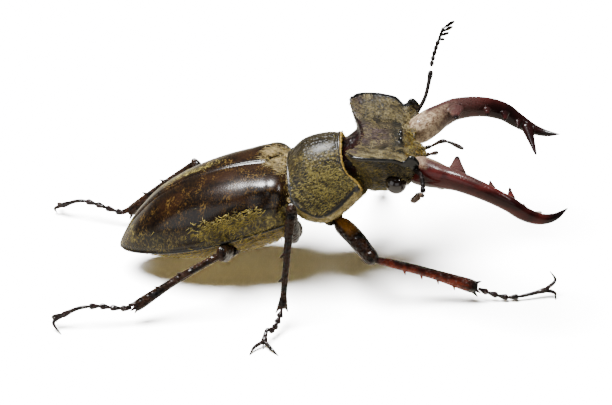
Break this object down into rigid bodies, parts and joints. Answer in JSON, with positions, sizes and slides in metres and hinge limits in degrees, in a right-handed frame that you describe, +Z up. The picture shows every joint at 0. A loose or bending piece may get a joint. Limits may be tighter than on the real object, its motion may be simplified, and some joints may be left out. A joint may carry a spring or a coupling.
{
  "type": "stag beetle model",
  "caption": "Male stag beetle standing on six legs, with long forked jaws open and raised, eared head and domed wing cases, as a still life-size model for display.",
  "frame": {"origin": "middle of the whole posed beetle's outline in plan, on the floor", "axes": "+X towards the jaws, +Y to the beetle's left, +Z up"},
  "size_m": [0.0776, 0.057, 0.0346],
  "materials": {
    "head_shell": "brown-black horn with short golden hair and black glossy ridges",
    "eyes": "glossy black",
    "mandibles": "glossy mahogany red horn, grained and tan at the base, black at teeth and tips",
    "antennae": "black, with brown velvety leaves",
    "palps": "dark brown",
    "pronotum": "dark bronze-olive, finely punctured, with short golden hair",
    "wing_cases": "glossy dark reddish-brown with worn golden hair",
    "underside": "brown horn under short golden hair",
    "legs": "glossy black-brown, punctured",
    "front_tibiae": "glossy dark red",
    "tarsi": "glossy black with red-brown last joints"
  },
  "bodies": {
    "root": {"head": "head_shell", "eye_left": "eyes", "eye_right": "eyes", "mandible_left": "mandibles", "mandible_right": "mandibles", "antenna_scape_left": "antennae", "antenna_scape_right": "antennae", "antenna_flagellum_left": "antennae", "antenna_flagellum_right": "antennae", "maxillary_palp_left": "palps", "maxillary_palp_right": "palps", "labial_palp_left": "palps", "labial_palp_right": "palps", "prothorax": "pronotum", "scutellum": "wing_cases", "elytron_left": "wing_cases", "elytron_right": "wing_cases", "metathorax": "underside", "abdomen": "underside", "front_left_coxa": "legs", "front_left_femur": "legs", "front_left_tibia": "front_tibiae", "front_left_tarsus": "tarsi", "front_right_coxa": "legs", "front_right_femur": "legs", "front_right_tibia": "front_tibiae", "front_right_tarsus": "tarsi", "middle_left_coxa": "legs", "middle_left_femur": "legs", "middle_left_tibia": "legs", "middle_left_tarsus": "tarsi", "middle_right_coxa": "legs", "middle_right_femur": "legs", "middle_right_tibia": "legs", "middle_right_tarsus": "tarsi", "hind_left_coxa": "legs", "hind_left_femur": "legs", "hind_left_tibia": "legs", "hind_left_tarsus": "tarsi", "hind_right_coxa": "legs", "hind_right_femur": "legs", "hind_right_tibia": "legs", "hind_right_tarsus": "tarsi"}
  },
  "joints": []
}
